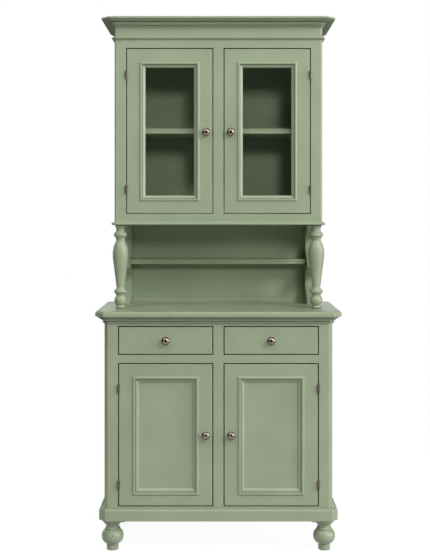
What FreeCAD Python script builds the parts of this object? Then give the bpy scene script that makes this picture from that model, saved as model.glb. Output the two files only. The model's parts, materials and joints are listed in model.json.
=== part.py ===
import FreeCAD, Part
import math
import os
import Sketcher

# A painted dresser with a glazed hutch, in millimetres.
# +X is to the right, -Y is the front, +Z is up, and the origin is on the floor under the middle.

SIZES = {
    # Whole piece
    "overall_height": 2000.0,
    "overall_depth": 450.0,
    "counter_width": 916.0,
    # Boards
    "side_board": 18.0,
    "back_board": 8.0,
    "frame_board": 22.0,
    "floor_board": 18.0,
    "door_gap": 3.8,
    # Counter and the bed moulding under it
    "counter_height": 893.0,
    "counter_thickness": 20.0,
    "counter_overhang": 33.0,
    "counter_upper_round": 9.0,
    "counter_lower_round": 3.0,
    "bed_height": 27.0,
    "bed_projection": 24.0,
    # Base cupboard
    "base_cant": 13.0,
    "base_stile": 51.5,
    "base_mullion": 37.8,
    "top_rail": 35.7,
    "drawer_opening": 107.5,
    "middle_rail": 30.5,
    "plinth_height": 46.0,
    "plinth_projection": 19.0,
    "plinth_reveal": 4.1,
    # Bun feet
    "foot_height": 116.0,
    "foot_radius": 42.0,
    "foot_inset": 48.0,
    "rear_foot_inset": 42.0,
    # Hutch
    "niche_height": 319.0,
    "hutch_inset": 62.0,
    "hutch_depth": 326.0,
    "hutch_cant": 5.5,
    "hutch_stile": 44.2,
    "hutch_mullion": 38.8,
    "hutch_bottom_rail": 41.5,
    "frieze": 96.0,
    "crown_height": 37.0,
    "crown_projection": 48.0,
    "astragal_height": 18.0,
    "astragal_projection": 10.5,
    "astragal_drop": 29.5,
    "waist_height": 13.0,
    "waist_projection": 11.2,
    # Niche under the hutch
    "column_radius": 30.0,
    "column_inset": 21.0,
    "column_setback": 25.0,
    "bracket_thickness": 42.0,
    "bracket_depth": 155.0,
    "niche_shelf_rise": 159.0,
    "niche_shelf_depth": 92.0,
    "strip_height": 20.0,
    "strip_thickness": 12.0,
    # Loose shelves and their pins
    "shelf_thickness": 19.0,
    "shelf_nose": 4.75,
    "shelf_setback": 20.0,
    "shelf_play": 0.5,
    "base_shelf_rise": 264.0,
    "hutch_shelf_rise": 351.0,
    "pin_radius": 3.0,
    "pin_length": 18.0,
    "pin_reach": 9.0,
    "pin_inset": 40.0,
    "pin_play": 0.05,
    # Doors
    "panel_thickness": 8.0,
    "glass_thickness": 4.0,
    "panel_setback": 10.0,
    "groove_depth": 8.0,
    "groove_play": 0.2,
    "panel_play": 1.0,
    "moulding_proud": 5.0,
    "base_door_stile": 49.0,
    "base_door_top_rail": 44.0,
    "base_door_bottom_rail": 37.0,
    "base_moulding_width": 26.0,
    "hutch_door_stile": 47.7,
    "hutch_door_top_rail": 48.5,
    "hutch_door_bottom_rail": 45.0,
    "hutch_moulding_width": 22.0,
    # Knobs
    "knob_radius": 15.0,
    "knob_projection": 27.0,
    "base_knob_drop": 263.0,
    "hutch_knob_drop": 317.0,
    # Butt hinges
    "knuckle_radius": 4.75,
    "hinge_length": 29.0,
    "hinge_leaf": 1.7,
    "hinge_leaf_width": 18.0,
    "hinge_clearance": 0.3,
    "hinge_pin_radius": 2.0,
    "hinge_pin_play": 0.05,
    "hinge_cap": 1.5,
    "base_hinge_top": 92.0,
    "base_hinge_bottom": 76.0,
    "hutch_hinge_top": 98.0,
    "hutch_hinge_bottom": 90.0,
    # Drawers and what carries them
    "drawer_front": 20.0,
    "drawer_side": 12.0,
    "drawer_back_room": 59.0,
    "drawer_bottom": 6.0,
    "drawer_bottom_rise": 10.0,
    "drawer_box_play": 4.0,
    "drawer_side_drop": 8.0,
    "runner_width": 45.0,
    "runner_height": 20.0,
    "guide_height": 18.0,
    "slide_play": 0.3,
    "overrun": 2.0,
}

# Turned outlines: shares of the radius and of the height, and the bulge of the stretch that ends
# there (the tangent of a quarter of its arc, 0 for straight, above 0 for a swelling).
FOOT_SHARES = [
    (0, 0, 0),
    (0.48, 0, 0),
    (0.535, 0.02, 0.4),
    (0.535, 0.175, 0),
    (0.57, 0.2, -0.3),
    (0.63, 0.665, 0.6),
    (0.62, 0.715, 0.8),
    (0.575, 0.745, -0.5),
    (0.83, 0.88, -0.25),
    (0.87, 0.9, 0),
    (0.87, 1, 0),
    (0, 1, 0),
]
COLUMN_SHARES = [
    (0, 0, 0),
    (0.55, 0, 0),
    (0.55, 0.035, 0.5),
    (0.53, 0.038, 0),
    (0.55, 0.151, 0.42),
    (0.53, 0.155, 0),
    (0.58, 0.159, 0),
    (0.58, 0.17, 0.4),
    (0.55, 0.175, 0),
    (0.66, 0.228, 0.75),
    (0.51, 0.253, -0.2),
    (0.85, 0.51, 0),
    (1, 0.655, 0.037),
    (0.62, 0.803, 0.125),
    (0.55, 0.817, -0.25),
    (0.55, 0.83, 0),
    (0.62, 0.833, 0),
    (0.62, 0.846, 0.5),
    (0.58, 0.85, 0),
    (0.67, 0.914, 0.68),
    (0.555, 0.935, -0.3),
    (0.555, 0.965, 0),
    (0.62, 0.977, -0.35),
    (0.66, 0.979, 0),
    (0.66, 1, 0.5),
    (0, 1, 0),
]
KNOB_SHARES = [
    (0, 0, 0),
    (0.6, 0, 0),
    (0.6, 0.07, 0),
    (0.4, 0.2, -0.3),
    (0.42, 0.4, -0.1),
    (0.92, 0.53, -0.15),
    (0.92, 0.76, 0.45),
    (0.45, 0.97, 0.16),
    (0, 1, 0.06),
]

# Moulding outlines: shares of the projection and of the height.
PLINTH_SHARES = [
    (0, 0, 0),
    (1, 0, 0),
    (1, 0.76, 0),
    (0.52, 0.95, 0.38),
    (0.3, 0.95, 0),
    (0.3, 1, 0),
    (0, 1, 0),
]
BED_SHARES = [
    (0, 0, 0),
    (0.1, 0, 0),
    (0.1, 0.11, 0),
    (0.25, 0.12, 0),
    (0.25, 0.28, 0.7),
    (0.12, 0.29, 0),
    (0.12, 0.4, 0),
    (0.36, 0.41, 0),
    (0.8, 0.7, -0.3),
    (0.7, 0.71, 0),
    (0.7, 0.8, 0),
    (0.95, 0.81, 0),
    (1, 0.86, 0.3),
    (1, 1, 0),
    (0, 1, 0),
]
WAIST_SHARES = [
    (0, 0, 0),
    (0.6, 0, 0),
    (0.6, 0.72, 0.95),
    (0.5, 0.74, 0),
    (0.1, 1, -0.25),
    (0, 1, 0),
]
ASTRAGAL_SHARES = [
    (0, 0, 0),
    (0.06, 0, 0),
    (0.06, 0.06, 0),
    (0.88, 0.32, 0),
    (0.88, 0.54, 0.55),
    (0.72, 0.56, 0),
    (0.1, 0.97, -0.15),
    (0.1, 1, 0),
    (0, 1, 0),
]
CROWN_SHARES = [
    (0, 0, 0),
    (0.03, 0, 0),
    (0.03, 0.06, 0),
    (0.12, 0.07, 0),
    (0.12, 0.19, 0.7),
    (0.06, 0.2, 0),
    (0.06, 0.26, 0),
    (0.17, 0.27, 0),
    (0.33, 0.52, -0.12),
    (0.29, 0.53, 0),
    (0.29, 0.57, 0),
    (0.6, 0.58, 0),
    (0.9, 0.76, 0.12),
    (0.96, 0.77, 0),
    (1, 0.81, 0.4),
    (0.84, 1, 0.4),
    (0, 1, 0),
]
# Shares of the thickness, counted forward from the back panel, and of the height.
STRIP_SHARES = [
    (0, 0, 0),
    (1, 0, 0),
    (1, 0.2, 0),
    (0.65, 0.38, 0.4),
    (0.5, 0.4, 0),
    (0.5, 0.92, 0),
    (0.36, 1, 0.4),
    (0, 1, 0),
]
# Shares of the width, counted inwards from the door's frame, and of the height above the panel.
PANEL_MOULDING_SHARES = [
    (0, 0, 0),
    (1, 0, 0),
    (1, 0.1, 0),
    (0.56, 0.63, 0.08),
    (0.55, 0.46, 0),
    (0.47, 0.46, 0),
    (0.46, 0.84, 0),
    (0.34, 1, 0.35),
    (0.2, 1, 0),
    (0, 0.667, 0.2),
]
# Shares of the depth, counted forward from the back, and of the height.
BRACKET_SHARES = [
    (0, 0, 0),
    (0.86, 0, 0),
    (0.86, 0.07, 0),
    (0.36, 0.19, -0.05),
    (0.34, 0.36, -0.55),
    (0.94, 0.465, -0.05),
    (1, 0.474, 0.5),
    (0.94, 0.487, 0.5),
    (0.36, 0.67, -0.05),
    (0.39, 0.86, -0.55),
    (0.86, 0.93, -0.08),
    (0.86, 1, 0),
    (0, 1, 0),
]
# Shares of the nose's depth, counted back from the front, and of the thickness.
SHELF_NOSE_SHARES = [
    (0.25, 0, 0),
    (0, 0.04, -0.3),
    (0, 0.4, -0.1),
    (0.3, 0.46, 0),
    (0.3, 0.54, 0),
    (0, 0.6, 0),
    (0, 0.96, -0.1),
    (0.25, 1, -0.3),
]


class Length:
    """A length in millimetres and the sheet expression that it comes from."""

    def __init__(self, value, text):
        self.value = value
        self.text = text

    def __add__(self, other):
        return Length(self.value + other.value, f"({self.text} + {other.text})")

    def __sub__(self, other):
        return Length(self.value - other.value, f"({self.text} - {other.text})")

    def __mul__(self, share):
        return Length(self.value * share, f"({self.text} * {share})")

    def __truediv__(self, count):
        return Length(self.value / count, f"({self.text} / {count})")

    def __neg__(self):
        return Length(-self.value, f"(-1 * {self.text})")


class Sizes:
    """The driving sizes as attributes."""

    def __init__(self, names):
        for name in names:
            setattr(self, name, Length(names[name], f"sizes.{name}"))


doc = FreeCAD.newDocument("dresser_with_hutch")
sheet = doc.addObject("Spreadsheet::Sheet", "sizes")
for row, (name, value) in enumerate(SIZES.items(), start=1):
    sheet.set(f"A{row}", name)
    sheet.set(f"B{row}", str(value))
    sheet.setAlias(f"B{row}", name)
doc.recompute()

s = Sizes(SIZES)
ZERO = Length(0.0, "0")
LEFT, RIGHT = -1, 1
SIDES = {"left": LEFT, "right": RIGHT}
nodes = []

# Levels and planes that the pieces share
back = s.overall_depth / 2
front = -back
back_front = back - s.back_board
base_half = s.counter_width / 2 - s.counter_overhang
base_face = front + s.counter_overhang
base_frame_back = base_face + s.frame_board
carcass_top = s.counter_height - s.counter_thickness
drawer_top = carcass_top - s.top_rail
drawer_floor = drawer_top - s.drawer_opening
base_door_top = drawer_floor - s.middle_rail
base_floor = s.foot_height + s.plinth_height + s.plinth_reveal
base_opening = base_half - s.base_stile
base_inside = base_half - s.side_board
hutch_half = s.counter_width / 2 - s.hutch_inset
hutch_inside = hutch_half - s.side_board
hutch_face = back - s.hutch_depth
hutch_frame_back = hutch_face + s.frame_board
hutch_base = s.counter_height + s.niche_height
hutch_roof = s.overall_height - s.floor_board
hutch_door_floor = hutch_base + s.hutch_bottom_rail
hutch_door_top = hutch_roof - s.frieze
hutch_opening = hutch_half - s.hutch_stile
niche_half = hutch_half - s.bracket_thickness


def times(side, length):
    """The length on the left (negative) or on the right."""
    return length if side == RIGHT else -length


def across(side, inner, outer):
    """The span from inner to outer on the left or right side, lowest first."""
    return (inner, outer) if side == RIGHT else (-outer, -inner)


def both(half):
    """The span that lies evenly about the middle."""
    return (-half, half)


def move(piece, x=ZERO, y=ZERO, z=ZERO):
    """Binds the piece's place to the sheet."""
    piece.setExpression("Placement.Base.x", x.text)
    piece.setExpression("Placement.Base.y", y.text)
    piece.setExpression("Placement.Base.z", z.text)
    return piece


def board(name, x, y, z):
    """A squared board between the given spans."""
    box = doc.addObject("Part::Box", name)
    box.setExpression("Length", (x[1] - x[0]).text)
    box.setExpression("Width", (y[1] - y[0]).text)
    box.setExpression("Height", (z[1] - z[0]).text)
    return move(box, x[0], y[0], z[0])


def rod(name, radius, length, x, y, z, turn=FreeCAD.Rotation()):
    """A round bar from the given point, upright unless it is turned."""
    cylinder = doc.addObject("Part::Cylinder", name)
    cylinder.setExpression("Radius", radius.text)
    cylinder.setExpression("Height", length.text)
    cylinder.Placement = FreeCAD.Placement(FreeCAD.Vector(), turn)
    return move(cylinder, x, y, z)


def group(name, pieces):
    """Several separate solids under one name."""
    compound = doc.addObject("Part::Compound", name)
    compound.Links = pieces
    return compound


def cut(name, base, tools):
    """The base less its tools."""
    result = doc.addObject("Part::Cut", name)
    result.Base = base
    result.Tool = tools[0] if len(tools) == 1 else group(f"{name}_tools", tools)
    return result


def fuse(name, pieces):
    """One solid from pieces that run into each other."""
    result = doc.addObject("Part::MultiFuse", name)
    result.Shapes = pieces
    return result


def node(label, *pieces):
    """Lists a sub-part under its label, as one solid or as a group of solids."""
    piece = pieces[0] if len(pieces) == 1 else group(label, list(pieces))
    piece.Label = label
    nodes.append(piece)
    return piece


def stretch_between(start, end, bulge):
    """A line or an arc between two points, and whether the arc runs from its end to its start."""
    if bulge == 0:
        return Part.LineSegment(start, end), False
    chord = end - start
    half = chord.Length / 2
    reach = half * (1 - bulge * bulge) / (2 * bulge)
    normal = FreeCAD.Vector(-chord.y, chord.x, 0).normalize()
    centre = start + chord / 2 + normal * reach
    radius = (start - centre).Length
    first, last = (start, end) if bulge > 0 else (end, start)
    angles = [math.atan2(p.y - centre.y, p.x - centre.x) for p in (first, last)]
    circle = Part.Circle(centre, FreeCAD.Vector(0, 0, 1), radius)
    return Part.ArcOfCircle(circle, angles[0], angles[1]), bulge < 0


def outline(name, points, spun=False):
    """A sketch through points of (across, up, bulge of the stretch that ends there).

    In an outline that is spun, an arc that ends on the axis has its centre there, and makes a dome."""
    sketch = doc.addObject("Sketcher::SketchObject", name)
    flat = [FreeCAD.Vector(u.value, v.value, 0) for u, v, _ in points]
    ends = []
    for index in range(len(points)):
        bulge = points[index][2]
        geometry, reverse = stretch_between(flat[index - 1], flat[index], bulge)
        piece = sketch.addGeometry(geometry)
        start_end = ((piece, 2), (piece, 1)) if reverse else ((piece, 1), (piece, 2))
        ends.append(start_end)
        if bulge != 0 and spun and points[index][0].value == 0:
            sketch.addConstraint(Sketcher.Constraint("PointOnObject", piece, 3, -2))
        elif bulge != 0:
            sketch.addConstraint(Sketcher.Constraint("Angle", piece, 4 * math.atan(abs(bulge))))
        for kind, place in (("DistanceX", points[index][0]), ("DistanceY", points[index][1])):
            fixed = Sketcher.Constraint(kind, -1, 1, *start_end[1], place.value)
            sketch.setExpression(f"Constraints[{sketch.addConstraint(fixed)}]", place.text)
    for before, after in zip(ends, ends[1:]):
        sketch.addConstraint(Sketcher.Constraint("Coincident", *before[1], *after[0]))
    sketch.addConstraint(Sketcher.Constraint("Coincident", *ends[-1][1], *ends[0][0]))
    return sketch


def shaped(name, shares, width, height, spun=False):
    """A sketch whose points are shares of a width and a height."""
    points = [(width * u, height * v, bulge) for u, v, bulge in shares]
    return outline(name, points, spun=spun)


def turn_to(x_axis, y_axis):
    """The rotation that lays a sketch's own axes along the given ones."""
    normal = FreeCAD.Vector(*x_axis).cross(FreeCAD.Vector(*y_axis))
    return FreeCAD.Rotation(FreeCAD.Vector(*x_axis), FreeCAD.Vector(*y_axis), normal, "XYZ")


UPRIGHT = turn_to((1, 0, 0), (0, 0, 1))
FORWARD = FreeCAD.Rotation(FreeCAD.Vector(1, 0, 0), 90)


def turned(name, sketch, x, y, z, turn=FreeCAD.Rotation()):
    """A turned piece: the sketch spun about its own upright axis."""
    piece = doc.addObject("Part::Revolution", name)
    piece.Source = sketch
    piece.Axis = FreeCAD.Vector(0, 0, 1)
    piece.Angle = 360
    piece.Solid = True
    piece.Placement = FreeCAD.Placement(FreeCAD.Vector(), turn)
    return move(piece, x, y, z)


def upright_sketch(name, shares, width, height):
    """A sketch of shares to be spun, which stands in the plane of X and Z."""
    sketch = shaped(name, shares, width, height, spun=True)
    sketch.Placement = FreeCAD.Placement(FreeCAD.Vector(), UPRIGHT)
    return sketch


def drawn(name, profile, length, direction):
    """The profile drawn out along a direction."""
    piece = doc.addObject("Part::Extrusion", name)
    piece.Base = profile
    piece.DirMode = "Custom"
    piece.Dir = FreeCAD.Vector(*direction)
    piece.setExpression("LengthFwd", length.text)
    piece.Solid = True
    return piece


def mitred(name, shares, width, height, corners, offsets, closed):
    """Lengths of one moulding along a flat route, each cut to the mitre at its two ends.

    The moulding is planted on the route's corners, and the offsets lead from each corner to the
    same mitre at the moulding's other edge."""
    far = [(a + da, b + db) for (a, b), (da, db) in zip(corners, offsets)]
    count = len(corners) if closed else len(corners) - 1
    lengths = []
    for run in range(count):
        following = (run + 1) % len(corners)
        start, end = corners[run], corners[following]
        along = FreeCAD.Vector(end[0].value - start[0].value, end[1].value - start[1].value, 0)
        along.normalize()
        outward = FreeCAD.Vector(-along.y, along.x, 0)
        if outward.dot(FreeCAD.Vector(offsets[run][0].value, offsets[run][1].value, 0)) < 0:
            outward = -outward
        profile = shaped(f"{name}_profile_{run}", shares, width, height)
        turn = turn_to(tuple(outward), (0, 0, 1))
        profile.Placement = FreeCAD.Placement(FreeCAD.Vector(), turn)
        move(profile, start[0] - width * along.x, start[1] - width * along.y)
        reach = (end[0] - start[0]) * along.x + (end[1] - start[1]) * along.y + width * 2
        bar = drawn(f"{name}_bar_{run}", profile, reach, tuple(along))
        plan = [start, end, far[following], far[run]]
        sketch = outline(f"{name}_plan_{run}", [(a, b, 0) for a, b in plan])
        wedge = drawn(f"{name}_wedge_{run}", sketch, height, (0, 0, 1))
        length = doc.addObject("Part::Common", f"{name}_length_{run}")
        length.Base = bar
        length.Tool = wedge
        lengths.append(length)
    return node(name, *lengths)


def wrapped_moulding(name, shares, projection, height, half, face, cant, bottom):
    """A moulding round the two sides, the canted corners and the front of a cabinet."""
    slant = projection * math.tan(math.pi / 8)
    side_run = [(half, back), (half, face + cant), (half - cant, face)]
    side_offsets = [(projection, ZERO), (projection, -slant), (slant, -projection)]
    corners = [(-a, b) for a, b in side_run] + side_run[::-1]
    offsets = [(-a, b) for a, b in side_offsets] + side_offsets[::-1]
    move(mitred(name, shares, projection, height, corners, offsets, False), z=bottom)


def edges_where(shape, test):
    """The numbers of the shape's edges whose middle and direction pass the test."""
    found = []
    for index, edge in enumerate(shape.Edges, start=1):
        ends = [vertex.Point for vertex in edge.Vertexes]
        if len(ends) == 2 and test((ends[0] + ends[1]) / 2, ends[1] - ends[0]):
            found.append(index)
    return found


def eased(kind, name, base, amount, test):
    """The base with the chosen edges rounded (Part::Fillet) or bevelled (Part::Chamfer)."""
    doc.recompute()
    piece = doc.addObject(kind, name)
    piece.Base = base
    piece.Edges = [(e, amount.value, amount.value) for e in edges_where(base.Shape, test)]
    return piece


def upright_at(x, y):
    """A test for the upright edges at any of the given places."""
    def test(middle, run):
        near_x = any(abs(middle.x - place.value) < s.overrun.value for place in x)
        return near_x and abs(middle.y - y.value) < s.overrun.value and abs(run.z) > s.overrun.value
    return test


def feet():
    sketch = upright_sketch("foot_outline", FOOT_SHARES, s.foot_radius, s.foot_height)
    x = base_half + s.plinth_projection - s.foot_inset
    rows = {"front": base_face - s.plinth_projection + s.foot_inset, "rear": back - s.rear_foot_inset}
    made = []
    for row_name, y in rows.items():
        for side_name, side in SIDES.items():
            made.append(turned(f"bun_foot_{row_name}_{side_name}", sketch, times(side, x), y, ZERO))
    node("bun_feet", *made)


def pin_places(rise, half, face):
    """Where the four pins of a shelf stand in the side boards, with the side of each."""
    level = rise - s.pin_radius - s.pin_play
    for y in (face + s.shelf_setback + s.pin_inset, back_front - s.pin_inset):
        for side in SIDES.values():
            yield side, y, level, half


def shelf_pin(name, place, play):
    """A pin, or with play the hole that it stands in."""
    side, y, level, half = place
    start = half - s.pin_reach if side == RIGHT else -half - s.pin_length + s.pin_reach
    along = FreeCAD.Rotation(FreeCAD.Vector(0, 1, 0), 90)
    return rod(name, s.pin_radius + play, s.pin_length, start, y, level, along)


def shelf(name, half, face, level):
    """A board with a beaded front edge, from a little behind the door to the back panel."""
    depth = back_front - face - s.shelf_play
    nosed_board(name, half - s.shelf_play, face, depth, level)


def nosed_board(name, half, face, depth, level):
    """A shelf whose front edge has two beads with a groove between them."""
    points = [(s.shelf_nose * u, s.shelf_thickness * v, bulge) for u, v, bulge in SHELF_NOSE_SHARES]
    points.append((depth, s.shelf_thickness, 0))
    points.append((depth, ZERO, 0))
    profile = outline(f"{name}_profile", points)
    profile.Placement = FreeCAD.Placement(FreeCAD.Vector(), turn_to((0, 1, 0), (0, 0, 1)))
    move(profile, -half, face, level)
    node(name, drawn(f"{name}_board", profile, half * 2, (1, 0, 0)))


def side_boards(prefix, half, face, bottom, top, shelf_level):
    """The two side boards, drilled for the shelf pins."""
    inside = half - s.side_board
    places = list(pin_places(shelf_level, inside, face))
    for side_name, side in SIDES.items():
        name = f"{prefix}_side_{side_name}"
        plain = board(f"{name}_board", across(side, inside, half), (face, back_front), (bottom, top))
        mine = [place for place in places if place[0] == side]
        holes = [shelf_pin(f"{name}_hole_{n}", place, s.pin_play) for n, place in enumerate(mine)]
        node(name, cut(f"{name}_drilled", plain, holes))
    return [shelf_pin(f"{prefix}_shelf_pin_{n}", place, ZERO) for n, place in enumerate(places)]


def canted_stiles(prefix, half, opening, face, cant, bottom, top):
    """The two outer stiles of a face frame, with the front corner cut off at 45 degrees."""
    made = []
    for side_name, side in SIDES.items():
        name = f"{prefix}_stile_{side_name}"
        depth = (face, face + s.frame_board)
        plain = board(f"{name}_board", across(side, opening, half), depth, (bottom, top))
        corner = upright_at([times(side, half)], face)
        made.append(eased("Part::Chamfer", name, plain, cant, corner))
    return made


def base_cabinet():
    depth = (base_face, base_frame_back)
    inside = (base_frame_back, back_front)
    mullion = both(s.base_mullion / 2)
    stiles = canted_stiles(
        "base", base_half, base_opening, base_face, s.base_cant, s.foot_height, carcass_top
    )
    upper = board("base_mullion_upper", mullion, depth, (drawer_floor, drawer_top))
    lower = board("base_mullion_lower", mullion, depth, (base_floor, base_door_top))
    node("base_stiles", *stiles, upper, lower)
    spans = {
        "top": (drawer_top, carcass_top),
        "middle": (base_door_top, drawer_floor),
        "bottom": (s.foot_height, base_floor),
    }
    rails = [
        board(f"base_{name}_rail", both(base_opening), depth, span) for name, span in spans.items()
    ]
    node("base_rails", *rails)
    shelf_level = base_floor + s.base_shelf_rise
    pins = side_boards("base", base_half, base_frame_back, s.foot_height, carcass_top, shelf_level)
    thickness = (base_floor - s.floor_board, base_floor)
    node("base_bottom", board("base_bottom", both(base_inside), inside, thickness))
    rise = (s.foot_height, carcass_top)
    node("base_back", board("base_back", both(base_half), (back_front, back), rise))
    shelf("base_shelf", base_inside, base_frame_back + s.shelf_setback, shelf_level)
    return pins


def counter():
    half = s.counter_width / 2
    plain = board("counter_board", both(half), (front, back), (carcass_top, s.counter_height))
    cant = s.base_cant + s.counter_overhang * (2 - math.sqrt(2))
    canted = eased("Part::Chamfer", "counter_canted", plain, cant, upright_at([-half, half], front))

    def rim(level):
        def test(middle, run):
            flat = abs(run.z) < s.overrun.value
            at_level = abs(middle.z - level.value) < s.overrun.value
            return flat and at_level and middle.y < back.value - s.overrun.value
        return test

    upper = eased(
        "Part::Fillet", "counter_upper_rim", canted, s.counter_upper_round, rim(s.counter_height)
    )
    lower = eased("Part::Fillet", "counter_lower_rim", upper, s.counter_lower_round, rim(carcass_top))
    node("countertop", lower)


def niche():
    strip = shaped("strip_profile", STRIP_SHARES, s.strip_thickness, s.strip_height)
    strip.Placement = FreeCAD.Placement(FreeCAD.Vector(), turn_to((0, -1, 0), (0, 0, 1)))
    move(strip, -niche_half, back_front, s.counter_height)
    node("niche_back_strip", drawn("niche_back_strip", strip, niche_half * 2, (1, 0, 0)))
    level = s.counter_height + s.niche_shelf_rise
    nosed_board("niche_shelf", niche_half, back_front - s.niche_shelf_depth, s.niche_shelf_depth, level)
    column = upright_sketch("column_outline", COLUMN_SHARES, s.column_radius, s.niche_height)
    for side_name, side in SIDES.items():
        x = times(side, hutch_half - s.column_inset)
        y = hutch_face + s.column_setback
        node(f"column_{side_name}", turned(f"column_{side_name}", column, x, y, s.counter_height))
        profile = shaped(f"bracket_{side_name}_profile", BRACKET_SHARES, s.bracket_depth, s.niche_height)
        profile.Placement = FreeCAD.Placement(FreeCAD.Vector(), turn_to((0, -1, 0), (0, 0, 1)))
        move(profile, across(side, niche_half, hutch_half)[0], back_front, s.counter_height)
        node(
            f"niche_bracket_{side_name}",
            drawn(f"niche_bracket_{side_name}", profile, s.bracket_thickness, (1, 0, 0)),
        )


def hutch_cabinet():
    depth = (hutch_face, hutch_frame_back)
    inside = (hutch_frame_back, back_front)
    stiles = canted_stiles(
        "hutch", hutch_half, hutch_opening, hutch_face, s.hutch_cant, hutch_base, hutch_roof
    )
    mullion = board(
        "hutch_mullion", both(s.hutch_mullion / 2), depth, (hutch_door_floor, hutch_door_top)
    )
    node("hutch_stiles", *stiles, mullion)
    spans = {"bottom": (hutch_base, hutch_door_floor), "frieze": (hutch_door_top, hutch_roof)}
    rails = [
        board(f"hutch_{name}_rail", both(hutch_opening), depth, span) for name, span in spans.items()
    ]
    node("hutch_rails", *rails)
    shelf_level = hutch_base + s.hutch_shelf_rise
    pins = side_boards("hutch", hutch_half, hutch_frame_back, hutch_base, hutch_roof, shelf_level)
    thickness = (hutch_base, hutch_base + s.floor_board)
    node("hutch_bottom", board("hutch_bottom", both(hutch_inside), inside, thickness))
    rise = (s.counter_height, hutch_roof)
    node("hutch_back", board("hutch_back", both(hutch_half), (back_front, back), rise))
    thickness = (hutch_roof, s.overall_height)
    plain = board("hutch_top_board", both(hutch_half), (hutch_face, back), thickness)
    corners = upright_at([-hutch_half, hutch_half], hutch_face)
    node("hutch_top", eased("Part::Chamfer", "hutch_top_canted", plain, s.hutch_cant, corners))
    shelf("hutch_shelf", hutch_inside, hutch_frame_back + s.shelf_setback, shelf_level)
    return pins


def mouldings():
    base = (base_half, base_face, s.base_cant)
    hutch = (hutch_half, hutch_face, s.hutch_cant)
    wrapped_moulding(
        "plinth_moulding", PLINTH_SHARES, s.plinth_projection, s.plinth_height, *base, s.foot_height
    )
    wrapped_moulding(
        "bed_moulding", BED_SHARES, s.bed_projection, s.bed_height, *base, carcass_top - s.bed_height
    )
    wrapped_moulding(
        "waist_moulding", WAIST_SHARES, s.waist_projection, s.waist_height, *hutch, hutch_base
    )
    crown_foot = s.overall_height - s.crown_height
    astragal_foot = crown_foot - s.astragal_drop - s.astragal_height
    wrapped_moulding(
        "astragal_moulding", ASTRAGAL_SHARES, s.astragal_projection, s.astragal_height, *hutch,
        astragal_foot,
    )
    wrapped_moulding(
        "crown_moulding", CROWN_SHARES, s.crown_projection, s.crown_height, *hutch, crown_foot
    )


def hinge(name, side, x, face, z):
    """A butt hinge at a gap: the frame's leaf, the door's leaf and the pin."""
    axis_y = face - s.knuckle_radius - s.hinge_clearance
    third = s.hinge_length / 3
    bottom = z - s.hinge_length / 2
    plate = (face, face + s.hinge_leaf_width)
    web = (axis_y, face)
    shift = s.hinge_clearance / 2

    def leaf(kind, towards, knuckles):
        span = across(towards, shift, shift + s.hinge_leaf)
        span = (x + span[0], x + span[1])
        pieces = [board(f"{name}_{kind}_plate", span, plate, (bottom, bottom + s.hinge_length))]
        for number in knuckles:
            low = bottom + third * number + (ZERO if number == 0 else shift)
            high = bottom + third * (number + 1) - (ZERO if number == 2 else shift)
            tag = f"{name}_{kind}_{number}"
            pieces.append(rod(f"{tag}_knuckle", s.knuckle_radius, high - low, x, axis_y, low))
            pieces.append(board(f"{tag}_web", span, web, (low, high)))
        solid = fuse(f"{name}_{kind}_solid", pieces)
        bore_radius = s.hinge_pin_radius + s.hinge_pin_play
        length = s.hinge_length + s.overrun * 2
        bore = rod(f"{name}_{kind}_bore", bore_radius, length, x, axis_y, bottom - s.overrun)
        return cut(f"{name}_{kind}", solid, [bore])

    length = s.hinge_length + s.hinge_pin_play * 2
    low = bottom - s.hinge_pin_play
    pin = rod(f"{name}_pin_shank", s.hinge_pin_radius, length, x, axis_y, low)
    cap_radius = (s.hinge_pin_radius + s.knuckle_radius) / 2
    caps = [
        rod(f"{name}_pin_cap_{end}", cap_radius, s.hinge_cap, x, axis_y, level)
        for end, level in (("low", low - s.hinge_cap), ("high", low + length))
    ]
    frame_leaf = leaf("frame_leaf", side, (0, 2))
    door_leaf = leaf("door_leaf", -side, (1,))
    return frame_leaf, door_leaf, fuse(f"{name}_pin", [pin, *caps])


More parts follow.
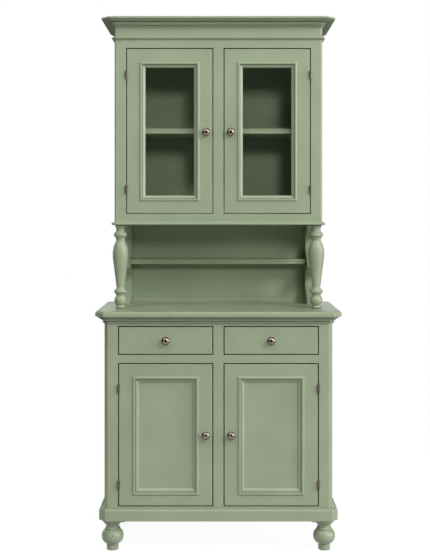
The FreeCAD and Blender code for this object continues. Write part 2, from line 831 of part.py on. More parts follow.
def framed_door(prefix, side_name, x, z, face, kind, pane_thickness):
    """A door: two stiles and two rails grooved for a pane, and the moulding in front of the pane."""
    name = f"{prefix}_door_{side_name}"
    stile = getattr(s, f"{prefix}_door_stile")
    depth = (face, face + s.frame_board)
    sight_x = (x[0] + stile, x[1] - stile)
    sight_z = (
        z[0] + getattr(s, f"{prefix}_door_bottom_rail"),
        z[1] - getattr(s, f"{prefix}_door_top_rail"),
    )
    pane_front = face + s.panel_setback
    slot = (pane_front - s.groove_play, pane_front + pane_thickness + s.groove_play)
    slot_x = (sight_x[0] - s.groove_depth, sight_x[1] + s.groove_depth)
    slot_z = (sight_z[0] - s.groove_depth, sight_z[1] + s.groove_depth)
    spans = {
        "stile_low": ((x[0], sight_x[0]), z),
        "stile_high": ((sight_x[1], x[1]), z),
        "bottom_rail": (sight_x, (z[0], sight_z[0])),
        "top_rail": (sight_x, (sight_z[1], z[1])),
    }
    members = []
    for member, (span_x, span_z) in spans.items():
        plain = board(f"{name}_{member}_board", span_x, depth, span_z)
        groove = board(f"{name}_{member}_groove", slot_x, slot, slot_z)
        members.append(cut(f"{name}_{member}", plain, [groove]))
    node(f"{name}_frame", *members)
    play = s.panel_play
    pane_x = (slot_x[0] + play, slot_x[1] - play)
    pane_z = (slot_z[0] + play, slot_z[1] - play)
    pane_y = (pane_front, pane_front + pane_thickness)
    node(f"{name}_{kind}", board(f"{name}_{kind}", pane_x, pane_y, pane_z))
    width = getattr(s, f"{prefix}_moulding_width")
    moulding = mitred(
        f"{name}_moulding",
        PANEL_MOULDING_SHARES,
        width,
        s.panel_setback + s.moulding_proud,
        [(sight_x[a], sight_z[b]) for a, b in ((0, 0), (1, 0), (1, 1), (0, 1))],
        [(width, width), (-width, width), (-width, -width), (width, -width)],
        True,
    )
    moulding.Placement = FreeCAD.Placement(FreeCAD.Vector(), UPRIGHT)
    move(moulding, y=pane_front)


def doors(prefix, mullion, opening, face, bottom, top, kind, pane_thickness, knob):
    """A pair of doors with their knobs and hinges, and the frame leaves and pins of the hinges."""
    leaves = []
    pins = []
    z = (bottom + s.door_gap, top - s.door_gap)
    inner = mullion / 2 + s.door_gap
    outer = opening - s.door_gap
    for side_name, side in SIDES.items():
        name = f"{prefix}_door_{side_name}"
        framed_door(prefix, side_name, across(side, inner, outer), z, face, kind, pane_thickness)
        knob_x = times(side, inner + getattr(s, f"{prefix}_door_stile") / 2)
        knob_z = z[1] - getattr(s, f"{prefix}_knob_drop")
        node(f"{name}_knob", turned(f"{name}_knob", knob, knob_x, face, knob_z, FORWARD))
        gap_x = times(side, opening - s.door_gap / 2)
        door_leaves = []
        places = {
            "upper": z[1] - getattr(s, f"{prefix}_hinge_top"),
            "lower": z[0] + getattr(s, f"{prefix}_hinge_bottom"),
        }
        for place, level in places.items():
            frame_leaf, door_leaf, pin = hinge(f"{name}_hinge_{place}", side, gap_x, face, level)
            leaves.append(frame_leaf)
            door_leaves.append(door_leaf)
            pins.append(pin)
        node(f"{name}_hinge_leaves", *door_leaves)
    return leaves, pins


def drawer(side_name, side, knob):
    """A drawer: its front, its box of sides, back and bottom, and its knob."""
    name = f"drawer_{side_name}"
    inner = s.base_mullion / 2
    front_x = across(side, inner + s.door_gap, base_opening - s.door_gap)
    front_z = (drawer_floor + s.door_gap, drawer_top - s.door_gap)
    front_back = base_face + s.drawer_front
    node(f"{name}_front", board(f"{name}_front", front_x, (base_face, front_back), front_z))
    box_x = across(side, inner + s.drawer_box_play, base_opening - s.drawer_box_play)
    box_y = (front_back, back_front - s.drawer_back_room)
    box_z = (drawer_floor + s.slide_play, drawer_top - s.drawer_side_drop)
    inner_x = (box_x[0] + s.drawer_side, box_x[1] - s.drawer_side)
    floor_z = (box_z[0] + s.drawer_bottom_rise, box_z[0] + s.drawer_bottom_rise + s.drawer_bottom)
    pieces = [
        board(f"{name}_side_low", (box_x[0], inner_x[0]), box_y, box_z),
        board(f"{name}_side_high", (inner_x[1], box_x[1]), box_y, box_z),
        board(f"{name}_back", inner_x, (box_y[1] - s.drawer_side, box_y[1]), (floor_z[1], box_z[1])),
        board(f"{name}_bottom", inner_x, box_y, floor_z),
    ]
    node(f"{name}_box", *pieces)
    knob_x = (front_x[0] + front_x[1]) / 2
    knob_z = (front_z[0] + front_z[1]) / 2
    node(f"{name}_knob", turned(f"{name}_knob", knob, knob_x, base_face, knob_z, FORWARD))


def drawer_carriers():
    """The divider between the drawers, and the runners, guides and kickers beside and above them."""
    depth = (base_frame_back, back_front)
    divider = s.side_board / 2
    node("drawer_divider", board("drawer_divider", both(divider), depth, (base_door_top, carcass_top)))
    inner_guide = s.base_mullion / 2 + s.drawer_box_play - s.slide_play
    outer_guide = base_opening - s.drawer_box_play + s.slide_play
    low = (drawer_floor - s.runner_height, drawer_floor)
    middle = (drawer_floor, drawer_floor + s.guide_height)
    high = (drawer_top, drawer_top + s.runner_height)
    inner_runner = (divider, divider + s.runner_width)
    outer_runner = (outer_guide - s.runner_width, base_inside)
    pieces = []
    for side_name, side in SIDES.items():
        spans = {
            "inner_runner": (inner_runner, low),
            "outer_runner": (outer_runner, low),
            "inner_guide": ((divider, inner_guide), middle),
            "outer_guide": ((outer_guide, base_inside), middle),
            "inner_kicker": (inner_runner, high),
            "outer_kicker": (outer_runner, high),
        }
        for piece, (span, level) in spans.items():
            pieces.append(board(f"drawer_{side_name}_{piece}", across(side, *span), depth, level))
    node("drawer_runners", *pieces)


def build():
    feet()
    pins = base_cabinet()
    counter()
    niche()
    pins += hutch_cabinet()
    node("shelf_pins", *pins)
    mouldings()
    knob = upright_sketch("knob_outline", KNOB_SHARES, s.knob_radius, s.knob_projection)
    base_leaves, base_pins = doors(
        "base", s.base_mullion, base_opening, base_face, base_floor, base_door_top,
        "panel", s.panel_thickness, knob,
    )
    hutch_leaves, hutch_pins = doors(
        "hutch", s.hutch_mullion, hutch_opening, hutch_face, hutch_door_floor, hutch_door_top,
        "glass", s.glass_thickness, knob,
    )
    node("hinge_frame_leaves", *base_leaves, *hutch_leaves)
    node("hinge_pins", *base_pins, *hutch_pins)
    for side_name, side in SIDES.items():
        drawer(side_name, side, knob)
    drawer_carriers()


def check_and_write():
    doc.recompute()
    faults = [o.Label for o in doc.Objects if "Invalid" in o.State or "Error" in o.State]
    faults += [n.Label for n in nodes if n.Shape.isNull() or not n.Shape.isValid()]
    if faults:
        raise RuntimeError("these objects failed: " + ", ".join(faults))
    os.makedirs("parts", exist_ok=True)
    for piece in nodes:
        piece.Shape.exportStep(os.path.join("parts", f"{piece.Label}.step"))
        print(piece.Label, len(piece.Shape.Solids), round(piece.Shape.Volume))


build()
check_and_write()
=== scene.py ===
import json
import math

import bmesh
import bpy
import numpy as np
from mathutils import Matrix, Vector
from mathutils.bvhtree import BVHTree

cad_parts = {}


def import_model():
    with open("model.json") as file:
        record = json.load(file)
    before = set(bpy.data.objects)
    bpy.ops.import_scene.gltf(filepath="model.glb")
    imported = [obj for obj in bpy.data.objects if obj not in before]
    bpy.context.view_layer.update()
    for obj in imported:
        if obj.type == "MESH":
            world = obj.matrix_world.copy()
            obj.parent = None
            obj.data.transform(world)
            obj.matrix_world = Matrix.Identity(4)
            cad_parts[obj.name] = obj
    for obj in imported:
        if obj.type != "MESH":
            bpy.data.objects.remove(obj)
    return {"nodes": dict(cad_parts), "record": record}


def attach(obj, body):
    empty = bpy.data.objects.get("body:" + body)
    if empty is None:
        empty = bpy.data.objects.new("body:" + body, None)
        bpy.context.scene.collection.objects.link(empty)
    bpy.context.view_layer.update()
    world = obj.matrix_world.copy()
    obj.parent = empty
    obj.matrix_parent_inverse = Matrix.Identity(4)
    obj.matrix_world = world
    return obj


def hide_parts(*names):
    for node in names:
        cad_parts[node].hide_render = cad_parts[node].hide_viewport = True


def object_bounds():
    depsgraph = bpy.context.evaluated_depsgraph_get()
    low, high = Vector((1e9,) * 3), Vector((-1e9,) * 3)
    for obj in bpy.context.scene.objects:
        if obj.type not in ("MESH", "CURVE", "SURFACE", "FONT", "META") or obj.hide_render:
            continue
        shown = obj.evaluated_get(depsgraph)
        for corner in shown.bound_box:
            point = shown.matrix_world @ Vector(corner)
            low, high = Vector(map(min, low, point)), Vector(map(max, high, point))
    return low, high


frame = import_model()
cad_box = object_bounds()

# A painted dresser with a glazed hutch, in metres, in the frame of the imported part.
# Boards and mouldings are shown with eased edges, and turned, metal and glass pieces as packed.

MM = 0.001
SLOTS = {part["node"]: part["material_slot"] for part in frame["record"]["subparts"]}
BODY_OF = {
    node: body for body, nodes in frame["record"]["behaviour"]["bodies"].items() for node in nodes
}

# Words in the names of the nodes that are shown as packed, brushed upright, or painted dull
AS_PACKED_WORDS = ("knob", "column", "feet", "hinge", "pins", "glass")
UPRIGHT_WORDS = ("stile", "side", "back", "panel", "bracket", "divider")
DULL_WORDS = ("back", "shelf", "hutch_top")

# Eased edges
BOARD_EASE = 1.2 * MM
MOULDING_EASE = 0.5 * MM
EASE_STEPS = 3
ROUND_PROFILE_SHARE = 0.5
SHARP_ANGLE = math.radians(24)
SMOOTH_ANGLE = math.radians(40)
FLAT_ANGLE = math.radians(0.5)
FACE_WEIGHT = 100
WELD = 0.005 * MM
TOUCH = 0.05 * MM
PROBE = 0.4 * MM
SHARE_DIGITS = 4

# Noises: grains to a metre, and layers of finer grains
PATCHES = (7.0, 4.0)
STREAKS = (900.0, 2.0)
SKIN = (260.0, 2.0)
GRAIN = (60.0, 5.0)
TARNISH = (180.0, 4.0)
SCRATCHES = (900.0, 2.0)
WAVES = (6.0, 2.0)
NOISE_ROUGH_SHARE = 0.5
NOISE_LOW_SHARE = 0.3
NOISE_MIDDLE_SHARE = 0.5
NOISE_HIGH_SHARE = 0.7

# Bumps: strength and depth
SKIN_BUMP = (0.04, 0.2 * MM)
STREAK_BUMP = (0.05, 0.15 * MM)
GRAIN_BUMP = (0.2, 0.5 * MM)
SCRATCH_BUMP = (0.06, 0.1 * MM)

# Openness of a spot, which is darkest when shut in and has its full colour when open
SHUT_SHARE = 0.08
OPEN_SHARE = 0.45
OPENNESS_SAMPLES = 4

# Paint
PAINT = (0.315, 0.372, 0.248)
PAINT_LIGHT_SHARE = 1.05
PAINT_DARK_SHARE = 0.95
# Eased edges are painted lighter, as a painted highlight where they catch the light
EDGE_HIGHLIGHT_SHARE = 1.14
PATCH_LOW_SHARE = 0.32
PATCH_HIGH_SHARE = 0.68
PAINT_IOR = 1.46
PAINT_GLOSS = 0.5
DULL_GLOSS = 0.12
PAINT_ROUGHNESS = (0.3, 0.38)
# Dark wax and painted shade in crevices and door gaps: how far the darkening reaches, and the darkest
# share of the paint's colour there, on boards and on mouldings
CREVICE_REACH = 14 * MM
CREVICE_SHARE = 0.06
MOULDING_CREVICE_SHARE = 0.4
BRUSH_STRETCH = {"upright": (1, 1, 0.01), "level": (0.01, 1, 1)}
# The edge paints carry the painted highlight of the eased edges
PAINTS = {
    "board": {},
    "board_edge": {"level_share": EDGE_HIGHLIGHT_SHARE},
    "dull": {"gloss": DULL_GLOSS},
    "moulding": {"crevice_share": MOULDING_CREVICE_SHARE},
    "moulding_edge": {"level_share": EDGE_HIGHLIGHT_SHARE, "crevice_share": MOULDING_CREVICE_SHARE},
}

# Bare wood
WOOD_DARK = (0.34, 0.21, 0.11)
WOOD_MIDDLE = (0.56, 0.39, 0.23)
WOOD_LIGHT = (0.68, 0.5, 0.32)
WOOD_IOR = 1.45
WOOD_ROUGHNESS = (0.5, 0.65)
GRAIN_STRETCH = (1.0, 0.06, 1.0)
GRAIN_ROUGH_SHARE = 0.6

# Nickel, with its roughness where dull and where smooth
NICKEL = (0.22, 0.18, 0.15)
NICKEL_LIGHT_SHARE = 1.25
NICKEL_DARK_SHARE = 0.75
KNOB_SHARE = 1.0
KNOB_ROUGHNESS = (0.17, 0.1)
HINGE_SHARE = 0.65
HINGE_ROUGHNESS = (0.4, 0.3)
TARNISH_REACH = 3 * MM
TARNISH_SHARE = 0.3

# Glass
GLASS_DARK = (0.95, 0.955, 0.95)
GLASS_LIGHT = (0.975, 0.98, 0.975)
GLASS_SHADOW = (0.97, 0.97, 0.96, 1.0)
GLASS_IOR = 1.5
GLASS_ROUGHNESS = (0.0, 0.02)

# Camera, from the photograph of 430 by 560 pixels
PHOTO_HEIGHT = 560
PHOTO_MIDDLE = (215, 280)
OBJECT_MIDDLE_X = 218.4
HORIZON_Y = 213.5
EYE_HEIGHT = 1.2558
EYE_DISTANCE = 3.766
SENSOR = 36.0
FOCAL_PIXELS = 1021.7

# Lamps: degrees to the right of the front, degrees up, level, and width in metres
LAMPS = {
    "side_right": (72, 12, 0.46, 5.0),
    "key_right": (42, 34, 0.4, 2.4),
    "front": (8, 17, 0.26, 1.6),
    "high_left": (-30, 42, 0.2, 4.0),
    "overhead": (0, 70, 0.15, 4.5),
    "rear": (180, 12, 0.5, 4.0),
    "rear_left": (-130, 12, 0.27, 4.0),
}
LAMPS_WITHOUT_SHINE = ("front",)
LAMP_DISTANCE = 9.0

# Floor
FLOOR_SIZE = 30.0
FLOOR_GREY = 0.4
FLOOR_SEEN_GREY = 0.9
SHADOW_REACH = 2.5
SHADOW_SHARE = 0.16
SHADOW_FILL = 1.094

# Dark cards
CARD_GREY = 0.01
CARD_FOOT = 0.05
CARD_TOP = 2.35
CARD_DISTANCE = 2.0
FRONT_CARD_HALF = 0.65
REAR_CARD_TOP = 6.0
REAR_CARD_DISTANCE = 0.3
REAR_CARD_HALF = 4.0


def grey(level):
    """An opaque grey, from 0 for black to 1 for white."""
    return (level, level, level, 1.0)


def tinted(colour, share):
    return tuple(channel * share for channel in colour)


class Shader:
    """A material's node tree, with short names for what the materials here use."""

    def __init__(self, name):
        self.material = bpy.data.materials.new(name)
        self.material.use_nodes = True
        self.tree = self.material.node_tree
        self.tree.nodes.clear()
        self.output = self.add("ShaderNodeOutputMaterial")

    def add(self, kind, **settings):
        node = self.tree.nodes.new(kind)
        for name, value in settings.items():
            setattr(node, name, value)
        return node

    def link(self, source, target):
        self.tree.links.new(source, target)

    def surface(self, shader):
        self.link(shader.outputs[0], self.output.inputs["Surface"])

    def mix(self, factor, first, second):
        """The first shader where the factor is 0, and the second where it is 1."""
        node = self.add("ShaderNodeMixShader")
        self.link(factor, node.inputs["Fac"])
        self.link(first.outputs[0], node.inputs[1])
        self.link(second.outputs[0], node.inputs[2])
        return node

    def diffuse(self, colour):
        node = self.add("ShaderNodeBsdfDiffuse")
        node.inputs["Color"].default_value = colour
        return node

    def principled(self, values):
        node = self.add("ShaderNodeBsdfPrincipled")
        for name, value in values.items():
            node.inputs[name].default_value = value
        return node

    def place(self, scale=(1, 1, 1)):
        """The point in the piece's own frame, stretched by the scale."""
        coordinates = self.add("ShaderNodeTexCoord")
        mapping = self.add("ShaderNodeMapping")
        mapping.inputs["Scale"].default_value = scale
        self.link(coordinates.outputs["Object"], mapping.inputs["Vector"])
        return mapping.outputs["Vector"]

    def noise(self, grains, layers, stretch=(1, 1, 1), rough=NOISE_ROUGH_SHARE):
        texture = self.add("ShaderNodeTexNoise")
        texture.inputs["Scale"].default_value = grains
        texture.inputs["Detail"].default_value = layers
        texture.inputs["Roughness"].default_value = rough
        self.link(self.place(stretch), texture.inputs["Vector"])
        return texture.outputs["Fac"]

    def ramp(self, factor, stops):
        node = self.add("ShaderNodeValToRGB")
        elements = node.color_ramp.elements
        while len(elements) < len(stops):
            elements.new(1.0)
        for element, (position, colour) in zip(elements, stops):
            element.position = position
            element.color = (*colour, 1.0)
        self.link(factor, node.inputs["Fac"])
        return node.outputs["Color"]

    def fade(self, factor, low, high, start=0.0, end=1.0):
        """Turns a factor that runs from start to end into one from low to high."""
        node = self.add("ShaderNodeMapRange")
        node.inputs["From Min"].default_value = start
        node.inputs["From Max"].default_value = end
        node.inputs["To Min"].default_value = low
        node.inputs["To Max"].default_value = high
        self.link(factor, node.inputs["Value"])
        return node.outputs["Result"]

    def range(self, noise, low, high):
        """Turns a noise, which keeps near its middle, into values from low to high."""
        return self.fade(noise, low, high, NOISE_LOW_SHARE, NOISE_HIGH_SHARE)

    def darkened_in_gaps(self, colour, reach, darkest):
        """The colour, down to the darkest share of it in a groove or gap narrower than the reach."""
        openness = self.add("ShaderNodeAmbientOcclusion", samples=OPENNESS_SAMPLES)
        openness.inputs["Distance"].default_value = reach
        share = self.fade(openness.outputs["AO"], darkest, 1.0, SHUT_SHARE, OPEN_SHARE)
        node = self.add("ShaderNodeVectorMath", operation="SCALE")
        self.link(colour, node.inputs[0])
        self.link(share, node.inputs["Scale"])
        return node.outputs[0]

    def bump(self, height, strength, depth, under=None):
        node = self.add("ShaderNodeBump")
        node.inputs["Strength"].default_value = strength
        node.inputs["Distance"].default_value = depth
        self.link(height, node.inputs["Height"])
        if under is not None:
            self.link(under, node.inputs["Normal"])
        return node.outputs["Normal"]


def either_ray(tree, first, *others):
    """1 for a ray of any of the named kinds, and 0 for the rest."""
    path = tree.nodes.new("ShaderNodeLightPath")
    total = path.outputs[first]
    for name in others:
        node = tree.nodes.new("ShaderNodeMath")
        node.operation = "MAXIMUM"
        tree.links.new(total, node.inputs[0])
        tree.links.new(path.outputs[name], node.inputs[1])
        total = node.outputs[0]
    return total


def seen_rays(tree):
    """1 for the rays that show the background: those of the camera, of gloss and of glass."""
    return either_ray(tree, "Is Camera Ray", "Is Glossy Ray", "Is Transmission Ray")


def paint(name, run, level_share=1.0, gloss=PAINT_GLOSS, crevice_share=CREVICE_SHARE):
    """Satin paint laid on with a brush along the run of the board, with dark wax and painted shade in
    the crevices and gaps.
    """
    shader = Shader(name)
    surface = shader.principled({"IOR": PAINT_IOR, "Specular IOR Level": gloss})
    stops = [
        (PATCH_LOW_SHARE, tinted(PAINT, PAINT_DARK_SHARE * level_share)),
        (NOISE_MIDDLE_SHARE, tinted(PAINT, level_share)),
        (PATCH_HIGH_SHARE, tinted(PAINT, PAINT_LIGHT_SHARE * level_share)),
    ]
    coat = shader.ramp(shader.noise(*PATCHES), stops)
    # The colour is darkened in grooves and gaps, partly as dark wax and partly as painted shade
    waxed_and_shaded = shader.darkened_in_gaps(coat, CREVICE_REACH, crevice_share)
    shader.link(waxed_and_shaded, surface.inputs["Base Color"])
    streaks = shader.noise(*STREAKS, BRUSH_STRETCH[run])
    shader.link(shader.range(streaks, *PAINT_ROUGHNESS), surface.inputs["Roughness"])
    skin = shader.bump(shader.noise(*SKIN), *SKIN_BUMP)
    brushed = shader.bump(streaks, *STREAK_BUMP, skin)
    shader.link(brushed, surface.inputs["Normal"])
    shader.surface(surface)
    return shader.material


def bare_wood():
    """Waxed pine for the hidden drawer boxes and runners."""
    shader = Shader("bare_wood")
    surface = shader.principled({"IOR": WOOD_IOR})
    grain = shader.noise(*GRAIN, GRAIN_STRETCH, GRAIN_ROUGH_SHARE)
    stops = [
        (NOISE_LOW_SHARE, WOOD_DARK),
        (NOISE_MIDDLE_SHARE, WOOD_MIDDLE),
        (NOISE_HIGH_SHARE, WOOD_LIGHT),
    ]
    shader.link(shader.ramp(grain, stops), surface.inputs["Base Color"])
    shader.link(shader.range(grain, *WOOD_ROUGHNESS), surface.inputs["Roughness"])
    shader.link(shader.bump(grain, *GRAIN_BUMP), surface.inputs["Normal"])
    shader.surface(surface)
    return shader.material


def aged_nickel(name, level_share, roughness):
    """Polished nickel gone warm and dull with age."""
    shader = Shader(name)
    surface = shader.principled({"Metallic": 1.0})
    tarnish = shader.noise(*TARNISH)
    stops = [
        (NOISE_LOW_SHARE, tinted(NICKEL, NICKEL_DARK_SHARE * level_share)),
        (NOISE_HIGH_SHARE, tinted(NICKEL, NICKEL_LIGHT_SHARE * level_share)),
    ]
    stained = shader.darkened_in_gaps(shader.ramp(tarnish, stops), TARNISH_REACH, TARNISH_SHARE)
    shader.link(stained, surface.inputs["Base Color"])
    shader.link(shader.range(tarnish, *roughness), surface.inputs["Roughness"])
    shader.link(shader.bump(shader.noise(*SCRATCHES), *SCRATCH_BUMP), surface.inputs["Normal"])
    shader.surface(surface)
    return shader.material


def clear_glass():
    """Window glass that lets the light through to the shelves."""
    shader = Shader("clear_glass")
    surface = shader.principled({"IOR": GLASS_IOR, "Transmission Weight": 1.0})
    waves = shader.noise(*WAVES)
    stops = [(NOISE_LOW_SHARE, GLASS_DARK), (NOISE_HIGH_SHARE, GLASS_LIGHT)]
    shader.link(shader.ramp(waves, stops), surface.inputs["Base Color"])
    shader.link(shader.range(waves, *GLASS_ROUGHNESS), surface.inputs["Roughness"])
    see_through = shader.add("ShaderNodeBsdfTransparent")
    see_through.inputs["Color"].default_value = GLASS_SHADOW
    light_rays = either_ray(shader.tree, "Is Shadow Ray", "Is Diffuse Ray")
    shader.surface(shader.mix(light_rays, surface, see_through))
    return shader.material


def make_materials():
    made = {
        "bare_wood": bare_wood(),
        "clear_glass": clear_glass(),
        "aged_nickel": aged_nickel("aged_nickel", KNOB_SHARE, KNOB_ROUGHNESS),
        "hinge_nickel": aged_nickel("hinge_nickel", HINGE_SHARE, HINGE_ROUGHNESS),
    }
    for use, settings in PAINTS.items():
        for run in BRUSH_STRETCH:
            name = f"paint_{use}_{run}"
            made[name] = paint(name, run, **settings)
    return made


def solids_of(mesh):
    """The separate solids of a node, as lists of triangles.

    The triangles follow each other solid by solid, and a solid is whole once each of its edges has
    been met from both sides."""
    open_edges = set()
    current = []
    solids = []
    for polygon in mesh.polygons:
        points = [mesh.vertices[index].co for index in polygon.vertices]
        corners = [tuple(round(value / WELD) for value in point) for point in points]
        current.append([point.copy() for point in points])
        for start, end in zip(corners, corners[1:] + corners[:1]):
            if (end, start) in open_edges:
                open_edges.remove((end, start))
            else:
                open_edges.add((start, end))
        if not open_edges:
            solids.append(current)
            current = []
    if current:
        raise RuntimeError(f"{mesh.name} does not close")
    return solids


def joined(triangles):
    """A solid with its triangles welded, and those in one plane made into one face."""
    solid = bmesh.new()
    for triangle in triangles:
        solid.faces.new([solid.verts.new(point) for point in triangle])
    bmesh.ops.remove_doubles(solid, verts=solid.verts, dist=WELD)
    bmesh.ops.dissolve_limit(solid, angle_limit=FLAT_ANGLE, verts=solid.verts, edges=solid.edges)
    solid.normal_update()
    return solid


class Neighbours:
    """All the boards at rest, to tell which edges of a board lie against another one."""

    def __init__(self, solids):
        points = []
        triangles = []
        self.owner = []
        for number, solid in enumerate(solids):
            for triangle in solid:
                start = len(points)
                points.extend(triangle)
                triangles.append((start, start + 1, start + 2))
                self.owner.append(number)
        self.tree = BVHTree.FromPolygons(points, triangles)
        self.points = np.array(points)
        self.point_owner = np.repeat(self.owner, 3)

    def covers(self, point, own):
        """Whether the point lies inside a solid other than its own."""
        nearest = None
        for place, normal, index, distance in self.tree.find_nearest_range(point, 2 * PROBE):
            if self.owner[index] != own and (nearest is None or distance < nearest[0]):
                nearest = (distance, (point - place).dot(normal))
        return nearest is not None and nearest[1] < 0

    def corners_on(self, start, end, own):
        """How far along an edge, as shares of its length, the corners of other solids lie on it."""
        along = np.array(end - start)
        length = np.linalg.norm(along)
        offsets = self.points[self.point_owner != own] - np.array(start)
        shares = offsets @ along / length ** 2
        apart = np.linalg.norm(offsets - shares[:, None] * along, axis=1)
        room = 2 * BOARD_EASE / length
        on_edge = shares[(apart < TOUCH) & (shares > room) & (shares < 1 - room)]
        return sorted(set(round(float(share), SHARE_DIGITS) for share in on_edge))


def is_outer_corner(edge):
    return len(edge.link_faces) == 2 and edge.calc_face_angle_signed() > SHARP_ANGLE


def split_at(edge, shares):
    """Splits the edge at the shares of its length, and returns its lengths."""
    start, end = edge.verts
    done = 0.0
    lengths = []
    for share in shares:
        rest_share = (share - done) / (1 - done)
        point = start.co + (end.co - start.co) * rest_share
        _, middle = bmesh.utils.edge_split(edge, start, rest_share)
        middle.co = point
        lengths.append(next(e for e in middle.link_edges if start in e.verts))
        edge = next(e for e in middle.link_edges if start not in e.verts)
        start = middle
        done = share
    lengths.append(edge)
    return lengths


def is_free(edge, neighbours, own):
    """Whether both faces beside the edge can be seen, with no other board against them."""
    middle = (edge.verts[0].co + edge.verts[1].co) / 2
    first, second = (face.normal for face in edge.link_faces)
    probes = [middle + (first - second) * PROBE, middle + (second - first) * PROBE]
    return not any(neighbours.covers(probe, own) for probe in probes)


def ease(solid, neighbours, own, width):
    """Rounds the free outer corners of a solid, and gives the rounded faces the second material."""
    edges = []
    for edge in [e for e in solid.edges if is_outer_corner(e)]:
        start, end = (vert.co.copy() for vert in edge.verts)
        edges.extend(split_at(edge, neighbours.corners_on(start, end, own)))
    solid.normal_update()
    free = [edge for edge in edges if is_free(edge, neighbours, own)]
    bmesh.ops.bevel(
        solid, geom=free, offset=width, offset_type="OFFSET", segments=EASE_STEPS,
        profile=ROUND_PROFILE_SHARE, affect="EDGES", clamp_overlap=True, material=1,
    )


def eased_piece(node, solids, numbers, neighbours, materials, width):
    """A board or moulding with eased edges, which stands for its node."""
    mesh = bpy.data.meshes.new(node)
    whole = bmesh.new()
    for number, triangles in zip(numbers, solids):
        solid = joined(triangles)
        ease(solid, neighbours, number, width)
        part = bpy.data.meshes.new("part")
        solid.to_mesh(part)
        solid.free()
        whole.from_mesh(part)
        bpy.data.meshes.remove(part)
    for face in whole.faces:
        face.smooth = True
    whole.to_mesh(mesh)
    whole.free()
    mesh.set_sharp_from_angle(angle=SMOOTH_ANGLE)
    for material in materials:
        mesh.materials.append(material)
    piece = bpy.data.objects.new(f"eased_{node}", mesh)
    bpy.context.scene.collection.objects.link(piece)
    normals = piece.modifiers.new("normals", "WEIGHTED_NORMAL")
    normals.keep_sharp = True
    normals.weight = FACE_WEIGHT
    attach(piece, BODY_OF[node])
    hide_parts(node)


def has_word(node, words):
    return any(word in node for word in words)


def board_finish(node, kind, materials):
    """The materials of a board's faces and of its eased edges, whose paint, on painted boards, is
    lighter as a painted highlight.
    """
    if SLOTS[node] == "bare_wood":
        return [materials["bare_wood"], materials["bare_wood"]]
    run = "upright" if has_word(node, UPRIGHT_WORDS) else "level"
    coat = "dull" if has_word(node, DULL_WORDS) else kind
    return [materials[f"paint_{coat}_{run}"], materials[f"paint_{kind}_edge_{run}"]]


def dress_boards(boards, materials):
    """Puts a piece with eased edges in the place of each board and moulding."""
    solids = {node: solids_of(frame["nodes"][node].data) for node in boards}
    neighbours = Neighbours([solid for node in boards for solid in solids[node]])
    first = 0
    for node in boards:
        numbers = range(first, first + len(solids[node]))
        first += len(solids[node])
        kind = "moulding" if "moulding" in node else "board"
        width = MOULDING_EASE if kind == "moulding" else BOARD_EASE
        finish = board_finish(node, kind, materials)
        eased_piece(node, solids[node], numbers, neighbours, finish, width)


def dress_as_packed(nodes, materials):
    """Gives the turned, metal and glass pieces their finish."""
    for node in nodes:
        finish = "paint_board_upright" if SLOTS[node] == "sage_paint" else SLOTS[node]
        if "hinge" in node:
            finish = "hinge_nickel"
        mesh = frame["nodes"][node].data
        mesh.materials.clear()
        mesh.materials.append(materials[finish])


def dress(materials):
    """Gives every node its finish."""
    as_packed = [node for node in frame["nodes"] if has_word(node, AS_PACKED_WORDS)]
    boards = [node for node in frame["nodes"] if node not in as_packed]
    dress_boards(boards, materials)
    dress_as_packed(as_packed, materials)


def world():
    """A white surround for the camera, for gloss and for glass, which sheds no light itself."""
    scene_world = bpy.data.worlds.new("studio")
    bpy.context.scene.world = scene_world
    scene_world.use_nodes = True
    tree = scene_world.node_tree
    tree.nodes.clear()
    white = tree.nodes.new("ShaderNodeBackground")
    white.inputs["Color"].default_value = grey(1.0)
    output = tree.nodes.new("ShaderNodeOutputWorld")
    tree.links.new(seen_rays(tree), white.inputs["Strength"])
    tree.links.new(white.outputs[0], output.inputs["Surface"])


def lamps():
    """Large round lamps that face the middle of the dresser, as far out as the lamp distance."""
    middle = (Vector(cad_box[0]) + Vector(cad_box[1])) / 2
    for name, (azimuth, elevation, level, width) in LAMPS.items():
        turn = math.radians(azimuth)
        rise = math.radians(elevation)
        flat = math.cos(rise)
        direction = Vector((math.sin(turn) * flat, -math.cos(turn) * flat, math.sin(rise)))
        lamp = bpy.data.lights.new(name, "AREA")
        lamp.shape = "DISK"
        lamp.size = width
        lamp.energy = level * (math.pi * LAMP_DISTANCE) ** 2
        holder = bpy.data.objects.new(name, lamp)
        holder.location = middle + direction * LAMP_DISTANCE
        holder.rotation_euler = direction.to_track_quat("Z", "Y").to_euler()
        holder.visible_glossy = name not in LAMPS_WITHOUT_SHINE
        bpy.context.scene.collection.objects.link(holder)


def stage_plane(name, corners, material):
    mesh = bpy.data.meshes.new(name)
    mesh.from_pydata(corners, [], [(0, 1, 2, 3)])
    mesh.materials.append(material)
    plane = bpy.data.objects.new(name, mesh)
    bpy.context.scene.collection.objects.link(plane)
    return plane


def floor():
    """A floor that is white to the camera and takes the dresser's shadow, which fades outwards."""
    shader = Shader("floor_white")
    plain = shader.diffuse(grey(FLOOR_GREY))
    shaded = shader.diffuse(grey(FLOOR_SEEN_GREY))
    glow = shader.add("ShaderNodeEmission")
    near = shader.add("ShaderNodeTexGradient", gradient_type="SPHERICAL")
    shader.link(shader.place((1 / SHADOW_REACH,) * 3), near.inputs["Vector"])
    shader.link(shader.fade(near.outputs["Fac"], 1.0, SHADOW_FILL), glow.inputs["Strength"])
    seen = shader.mix(shader.fade(near.outputs["Fac"], 0.0, SHADOW_SHARE), glow, shaded)
    shader.surface(shader.mix(seen_rays(shader.tree), plain, seen))
    half = FLOOR_SIZE / 2
    corners = [(-half, -half, 0), (half, -half, 0), (half, half, 0), (-half, half, 0)]
    stage_plane("floor", corners, shader.material)


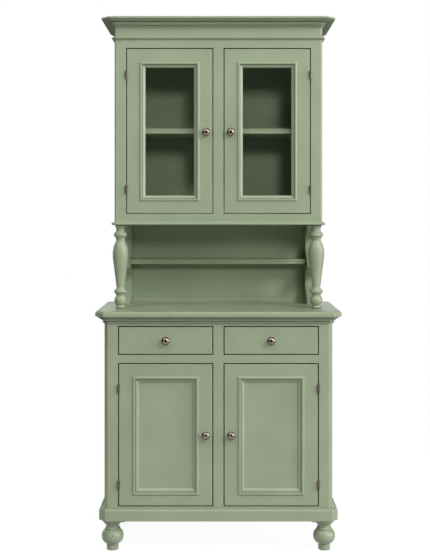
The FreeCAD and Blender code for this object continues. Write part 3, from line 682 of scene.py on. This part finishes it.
def card_black():
    """Black to a ray that has been reflected on its way, and clear to any other."""
    shader = Shader("card_black")
    black = shader.diffuse(grey(CARD_GREY))
    unseen = shader.add("ShaderNodeBsdfTransparent")
    reflected = shader.add("ShaderNodeMath", operation="GREATER_THAN")
    shader.link(shader.add("ShaderNodeLightPath").outputs["Glossy Depth"], reflected.inputs[0])
    shader.surface(shader.mix(reflected.outputs[0], unseen, black))
    return shader.material


def dark_cards():
    """Black cards in front of the dresser, on its left and behind it, which show only in reflections.

    The front card shows in both faces of a pane, and not through an open door's pane."""
    material = card_black()
    left = cad_box[0][0] - CARD_DISTANCE
    front = cad_box[0][1] - CARD_DISTANCE
    back = cad_box[1][1]
    rear = back + REAR_CARD_DISTANCE
    cards = {
        "front_card": ((-FRONT_CARD_HALF, front), (FRONT_CARD_HALF, front), CARD_TOP),
        "left_card": ((left, front), (left, back), CARD_TOP),
        "rear_card": ((-REAR_CARD_HALF, rear), (REAR_CARD_HALF, rear), REAR_CARD_TOP),
    }
    for name, (start, end, top) in cards.items():
        corners = [(*start, CARD_FOOT), (*end, CARD_FOOT), (*end, top), (*start, top)]
        card = stage_plane(name, corners, material)
        card.visible_camera = False
        card.visible_diffuse = False
        card.visible_shadow = False
        card.visible_transmission = name == "front_card"


def camera():
    """The photograph's view: level, with the upright lines parallel."""
    data = bpy.data.cameras.new("camera")
    data.sensor_fit = "VERTICAL"
    data.sensor_height = SENSOR
    data.lens = SENSOR * FOCAL_PIXELS / PHOTO_HEIGHT
    data.shift_x = (PHOTO_MIDDLE[0] - OBJECT_MIDDLE_X) / PHOTO_HEIGHT
    data.shift_y = (HORIZON_Y - PHOTO_MIDDLE[1]) / PHOTO_HEIGHT
    holder = bpy.data.objects.new("camera", data)
    holder.location = (0, cad_box[0][1] - EYE_DISTANCE, EYE_HEIGHT)
    holder.rotation_euler = (math.pi / 2, 0, 0)
    bpy.context.scene.collection.objects.link(holder)
    bpy.context.scene.camera = holder


dress(make_materials())
world()
lamps()
floor()
dark_cards()
camera()
bpy.context.scene.view_settings.view_transform = "Standard"
